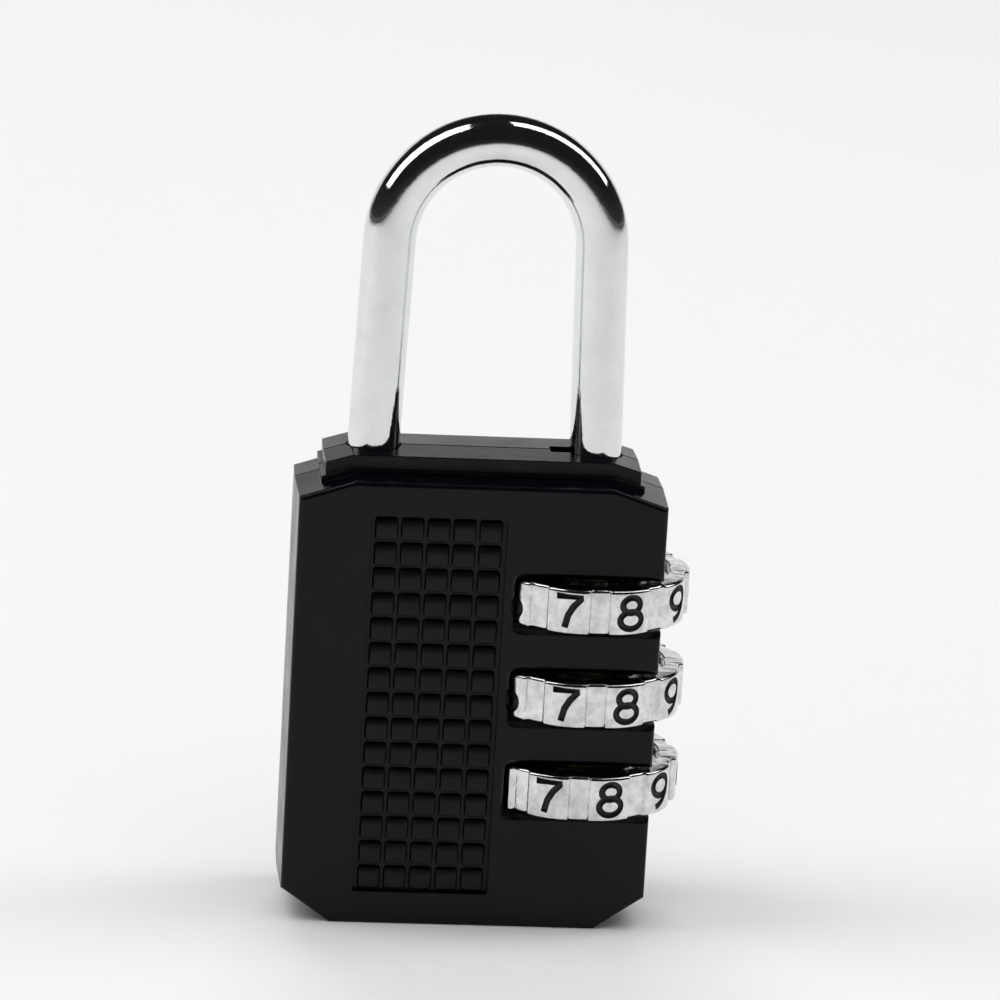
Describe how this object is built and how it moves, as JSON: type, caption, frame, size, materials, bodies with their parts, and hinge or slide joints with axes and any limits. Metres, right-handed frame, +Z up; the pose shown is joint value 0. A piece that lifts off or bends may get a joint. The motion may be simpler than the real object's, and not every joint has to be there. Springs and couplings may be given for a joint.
{
  "type": "combination padlock",
  "caption": "Small keyless padlock: two-part painted case, round-rod shackle that slides up, and numbered dials whose sleeves block the shackle's fins.",
  "frame": {"origin": "middle of the flat bottom face, on the seam between the two halves of the case", "axes": "+Z up along the shackle's travel, front with the panel of raised squares facing -Y, dials on the +X side"},
  "size_m": [0.0261, 0.0134, 0.0531],
  "materials": {
    "black_paint": "satin black paint on die-cast zinc",
    "chrome": "bright chrome plate",
    "brass": "turned, unpolished",
    "steel": "plain spring steel"
  },
  "bodies": {
    "case": {"front_shell": "black_paint", "rear_shell": "black_paint", "spring_washer": "steel", "reset_spring": "steel", "rivet_lower_left": "steel", "rivet_upper_left": "steel", "rivet_lower_right": "steel", "rivet_upper_right": "steel", "detent_ball_bottom": "steel", "detent_ball_middle": "steel", "detent_ball_top": "steel", "detent_spring_bottom": "steel", "detent_spring_middle": "steel", "detent_spring_top": "steel"},
    "shackle": {"shackle": "chrome"},
    "dial_bottom": {"dial_bottom": "chrome", "sleeve_bottom": "brass"},
    "dial_middle": {"dial_middle": "chrome", "sleeve_middle": "brass"},
    "dial_top": {"dial_top": "chrome", "sleeve_top": "brass"}
  },
  "joints": [
    {"name": "shackle_lift", "type": "slide", "parent": "case", "child": "shackle", "axis": [0, 0, 1], "range_m": [0, 0.0063]},
    {"name": "dial_bottom_turn", "type": "hinge", "parent": "case", "child": "dial_bottom", "pos_m": [0.0074, 0, 0.00941], "axis": [0, 0, 1], "continuous": true},
    {"name": "dial_middle_turn", "type": "hinge", "parent": "case", "child": "dial_middle", "pos_m": [0.0074, 0, 0.01571], "axis": [0, 0, 1], "continuous": true},
    {"name": "dial_top_turn", "type": "hinge", "parent": "case", "child": "dial_top", "pos_m": [0.0074, 0, 0.02201], "axis": [0, 0, 1], "continuous": true}
  ]
}
